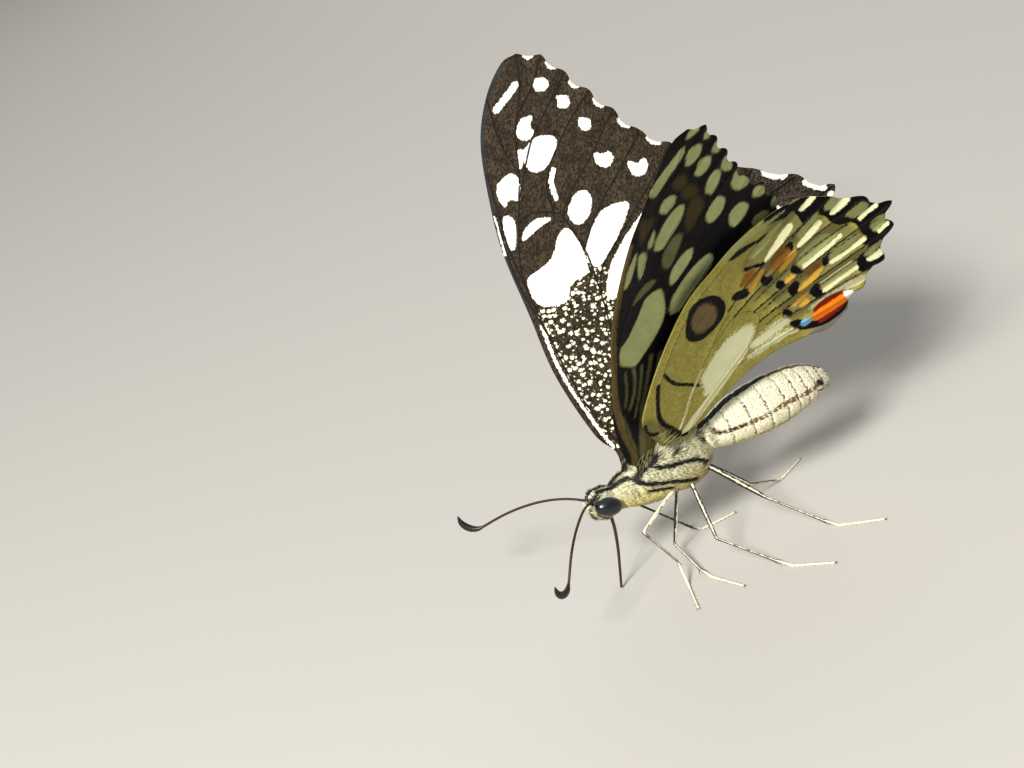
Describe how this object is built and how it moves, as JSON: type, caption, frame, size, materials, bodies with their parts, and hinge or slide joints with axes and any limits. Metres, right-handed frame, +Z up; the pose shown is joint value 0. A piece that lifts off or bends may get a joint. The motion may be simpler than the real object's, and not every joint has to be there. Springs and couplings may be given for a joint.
{
  "type": "butterfly model",
  "caption": "Life-size chequered swallowtail butterfly standing on its legs, wings half raised in a V, feelers forward and tongue down.",
  "frame": {"origin": "centre of the footprint of the box round the animal, on the floor under its feet", "axes": "+X towards the tail, +Y towards the animal's right side, +Z up"},
  "size_m": [0.0536, 0.0456, 0.0556],
  "materials": {
    "hair": "short cream hair with black stripes, matte",
    "cream": "cream scales with dark lines, matte",
    "brown": "brown-black scales with cream spots, matte",
    "olive": "olive-cream scales with black marks, matte",
    "eye": "glossy blue-black",
    "feeler": "dark red-brown, slight sheen",
    "leg": "cream scales with dark lines"
  },
  "bodies": {
    "root": {"thorax": "hair", "neck": "hair", "head": "hair", "palp_left": "hair", "palp_right": "hair", "abdomen": "cream", "forewing_left": "brown", "forewing_right": "brown", "hindwing_left": "olive", "hindwing_right": "olive", "eye_left": "eye", "eye_right": "eye", "antenna_left": "feeler", "antenna_right": "feeler", "proboscis": "feeler", "femur_fore_left": "leg", "femur_fore_right": "leg", "femur_mid_left": "leg", "femur_mid_right": "leg", "femur_hind_left": "leg", "femur_hind_right": "leg", "tibia_fore_left": "leg", "tibia_fore_right": "leg", "tibia_mid_left": "leg", "tibia_mid_right": "leg", "tibia_hind_left": "leg", "tibia_hind_right": "leg", "tarsus_fore_left": "leg", "tarsus_fore_right": "leg", "tarsus_mid_left": "leg", "tarsus_mid_right": "leg", "tarsus_hind_left": "leg", "tarsus_hind_right": "leg"}
  },
  "joints": []
}
